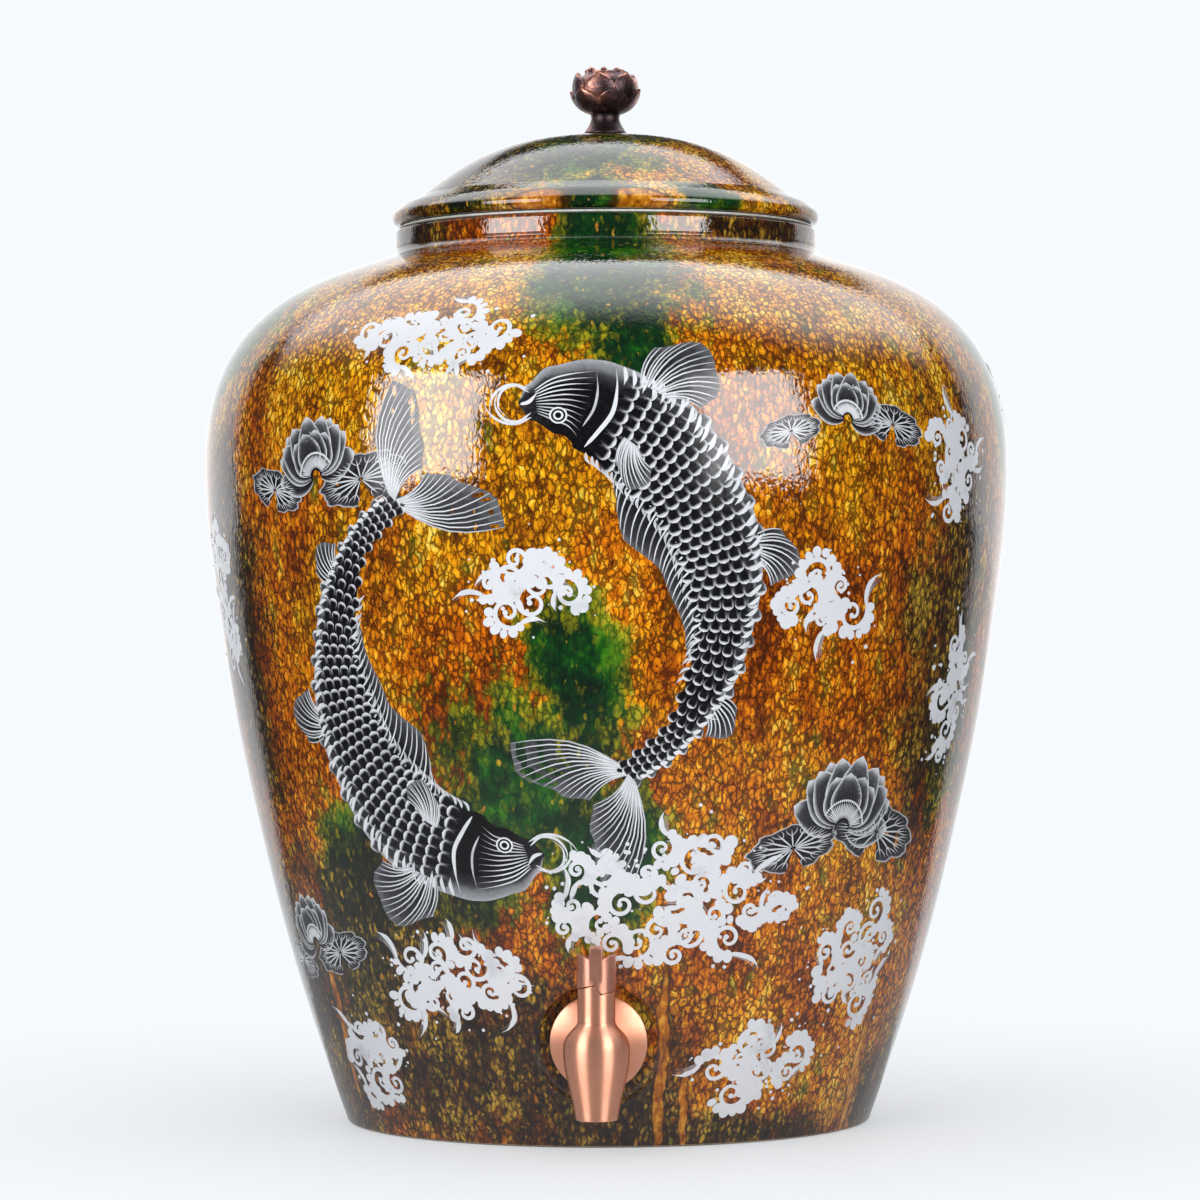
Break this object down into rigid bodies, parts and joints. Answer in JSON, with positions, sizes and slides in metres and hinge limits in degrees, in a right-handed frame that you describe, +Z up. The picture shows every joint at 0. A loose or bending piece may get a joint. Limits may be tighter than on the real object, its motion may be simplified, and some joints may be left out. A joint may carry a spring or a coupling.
{
  "type": "beverage dispenser jar",
  "caption": "Broad-shouldered glazed stoneware drinks jar with a lift-off domed lid, a lotus-bud knob and a turning copper cam tap low on the wall.",
  "frame": {"origin": "centre of the jar's foot, on the surface that it stands on", "axes": "+Z up along the jar's axis, the tap faces -Y"},
  "size_m": [0.3704, 0.3704, 0.4865],
  "materials": {
    "glaze": "glossy amber, green and brown reactive glaze",
    "silicone": "translucent milky silicone",
    "antique_copper": "antique dark copper, rubbed bright on raised edges",
    "rose_copper": "satin rose copper plating",
    "plain_steel": "plain stainless steel",
    "yellow_brass": "machined brass"
  },
  "bodies": {
    "jar": {"jar_body": "glaze", "tap_body": "rose_copper", "tap_flange": "rose_copper", "tap_outer_washer": "silicone", "tap_inner_washer": "silicone", "tap_nut_washer": "plain_steel", "tap_lock_nut": "yellow_brass", "gland_bush": "yellow_brass", "gland_o_ring": "silicone", "valve_spring": "plain_steel"},
    "lid_seal": {"lid_seal_ring": "silicone"},
    "lid": {"lid": "glaze", "lid_knob": "antique_copper", "knob_gasket": "silicone", "knob_screw": "plain_steel", "knob_screw_washer": "silicone"},
    "stopper": {"valve_stopper": "silicone"},
    "handle": {"tap_handle": "rose_copper", "handle_grub_screw": "plain_steel", "valve_stem": "plain_steel"}
  },
  "joints": [
    {"name": "lid_lift", "type": "slide", "parent": "jar", "child": "lid_seal", "axis": [0, 0, 1], "range_m": [0, 0.12]},
    {"name": "lid_turn", "type": "hinge", "parent": "lid_seal", "child": "lid", "pos_m": [0, 0, 0.4126], "axis": [0, 0, 1], "continuous": true},
    {"name": "stem_lift", "type": "slide", "parent": "jar", "child": "stopper", "axis": [0, 0, 1], "range_m": [0, 0.00277], "deforming": ["valve_spring"]},
    {"name": "handle_turn", "type": "hinge", "parent": "stopper", "child": "handle", "pos_m": [0, -0.1625, 0.07], "axis": [0, 0, 1], "range_deg": [0, 120]}
  ],
  "couplings": [
    {"joint": "handle_turn", "follows": "stem_lift", "rad_per_m": 756.3}
  ]
}
